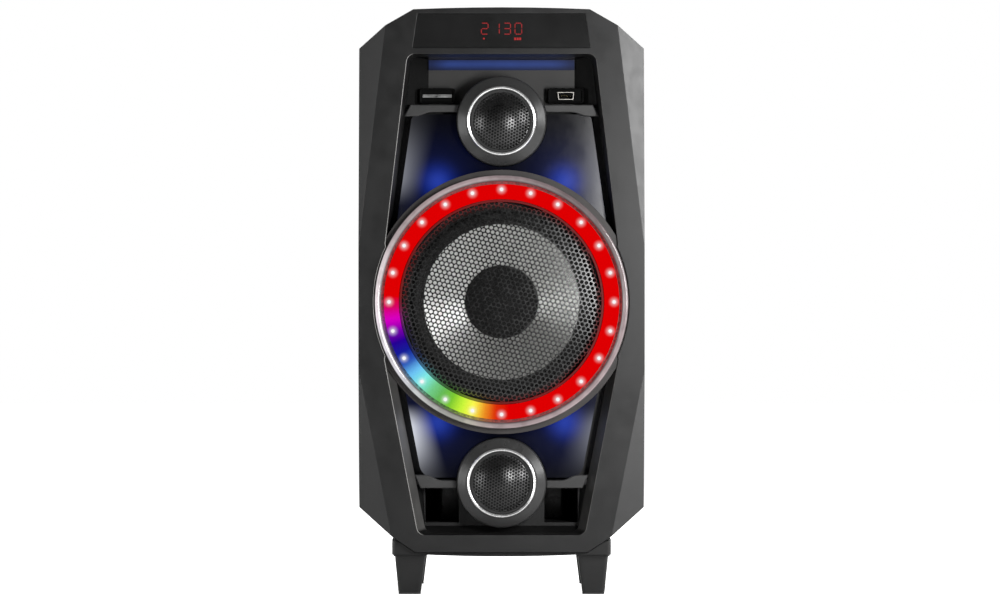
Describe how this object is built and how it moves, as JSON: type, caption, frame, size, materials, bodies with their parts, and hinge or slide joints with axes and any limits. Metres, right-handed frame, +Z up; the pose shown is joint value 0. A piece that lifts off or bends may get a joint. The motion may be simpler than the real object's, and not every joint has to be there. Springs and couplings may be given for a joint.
{
  "type": "party speaker",
  "caption": "Upright party speaker with an eight-sided cabinet on feet, a woofer in a ring of coloured lights and a small tweeter above and below it.",
  "frame": {"origin": "middle of the footprint on the floor, under the centre of the box", "axes": "front faces -Y, +X is to the right seen from the front, +Z up"},
  "size_m": [0.24, 0.23, 0.493],
  "materials": {
    "satin_black": "satin moulded",
    "black_vinyl": "textured wrap over board",
    "board": "fibreboard",
    "trim": "satin",
    "housing_grey": "satin",
    "chrome": "polished",
    "black_mesh": "perforated sheet",
    "gloss_black": "high gloss",
    "smoked_window": "smoked",
    "clear_rim": "clear moulded",
    "diffuser": "lit diffuser",
    "blue_diffuser": "lit diffuser",
    "pcb": "circuit board",
    "led": "LED packages",
    "cone_paper": "pressed fibre",
    "dust_cap": "pressed fibre",
    "rubber": "soft",
    "spider_cloth": "varnished cloth",
    "steel": "zinc plated",
    "basket_steel": "pressed steel",
    "ferrite": "ferrite",
    "coil": "copper winding",
    "aluminium": "extruded",
    "battery": "wrapped pack"
  },
  "bodies": {
    "cabinet": {"accent_led_boards": "pcb", "amplifier_board": "pcb", "base_plinth": "satin_black", "battery_pack": "battery", "cabinet_screws": "steel", "cabinet_shell": "black_vinyl", "control_board": "pcb", "control_panel": "satin_black", "display_module": "satin_black", "display_window": "smoked_window", "feet": "satin_black", "foot_pads": "rubber", "front_baffle": "board", "front_fascia": "satin_black", "heat_sink": "aluminium", "light_strip_diffuser": "blue_diffuser", "lower_bay_liner": "gloss_black", "lower_reflector": "gloss_black", "lower_trim_bars": "trim", "lower_tweeter_grille": "black_mesh", "lower_tweeter_housing": "housing_grey", "lower_tweeter_motor": "steel", "lower_tweeter_ring": "chrome", "mic_jacks": "satin_black", "port_ducts": "satin_black", "rear_jack_plate": "satin_black", "rear_panel": "black_vinyl", "rim_light_guide": "clear_rim", "ring_board": "pcb", "ring_collar": "satin_black", "ring_diffuser": "diffuser", "ring_leds": "led", "sd_card_slot": "satin_black", "upper_bay_liner": "housing_grey", "upper_reflector": "gloss_black", "upper_trim_bars": "trim", "upper_tweeter_grille": "black_mesh", "upper_tweeter_housing": "housing_grey", "upper_tweeter_motor": "steel", "upper_tweeter_ring": "chrome", "usb_port": "satin_black", "woofer_basket": "basket_steel", "woofer_grille": "black_mesh", "woofer_magnet": "ferrite", "woofer_plates": "steel", "woofer_spider": "spider_cloth", "woofer_surround": "rubber"},
    "woofer_diaphragm": {"woofer_cone": "cone_paper", "woofer_dust_cap": "dust_cap", "woofer_voice_coil": "coil"},
    "upper_tweeter_diaphragm": {"upper_tweeter_dome": "dust_cap"},
    "lower_tweeter_diaphragm": {"lower_tweeter_dome": "dust_cap"},
    "volume_control": {"volume_knob": "housing_grey"},
    "mic_control": {"mic_knob": "housing_grey"},
    "echo_control": {"echo_knob": "housing_grey"},
    "play_key": {"button_play": "rubber"},
    "previous_key": {"button_previous": "rubber"},
    "next_key": {"button_next": "rubber"},
    "mode_key": {"button_mode": "rubber"},
    "power_switch": {"power_rocker": "satin_black"}
  },
  "joints": [
    {"name": "woofer_stroke", "type": "slide", "parent": "cabinet", "child": "woofer_diaphragm", "axis": [0, -1, 0], "range_m": [-0.004, 0.004], "stiffness_N_per_m": 1500, "deforming": ["woofer_surround", "woofer_spider"]},
    {"name": "upper_tweeter_stroke", "type": "slide", "parent": "cabinet", "child": "upper_tweeter_diaphragm", "axis": [0, -1, 0], "range_m": [-0.0004, 0.0004], "stiffness_N_per_m": 60},
    {"name": "lower_tweeter_stroke", "type": "slide", "parent": "cabinet", "child": "lower_tweeter_diaphragm", "axis": [0, -1, 0], "range_m": [-0.0004, 0.0004], "stiffness_N_per_m": 60},
    {"name": "volume_turn", "type": "hinge", "parent": "cabinet", "child": "volume_control", "pos_m": [0, 0.014, 0.48], "axis": [0, 0, -1], "continuous": true},
    {"name": "mic_turn", "type": "hinge", "parent": "cabinet", "child": "mic_control", "pos_m": [-0.038, 0.026, 0.48], "axis": [0, 0, -1], "range_deg": [0, 300]},
    {"name": "echo_turn", "type": "hinge", "parent": "cabinet", "child": "echo_control", "pos_m": [0.038, 0.026, 0.48], "axis": [0, 0, -1], "range_deg": [0, 300]},
    {"name": "play_press", "type": "slide", "parent": "cabinet", "child": "play_key", "axis": [0, 0, -1], "range_m": [0, 0.0008], "stiffness_N_per_m": 150},
    {"name": "previous_press", "type": "slide", "parent": "cabinet", "child": "previous_key", "axis": [0, 0, -1], "range_m": [0, 0.0008], "stiffness_N_per_m": 150},
    {"name": "next_press", "type": "slide", "parent": "cabinet", "child": "next_key", "axis": [0, 0, -1], "range_m": [0, 0.0008], "stiffness_N_per_m": 150},
    {"name": "mode_press", "type": "slide", "parent": "cabinet", "child": "mode_key", "axis": [0, 0, -1], "range_m": [0, 0.0008], "stiffness_N_per_m": 150},
    {"name": "power_rock", "type": "hinge", "parent": "cabinet", "child": "power_switch", "pos_m": [0, 0.1085, 0.172], "axis": [1, 0, 0], "range_deg": [0, 12]}
  ]
}
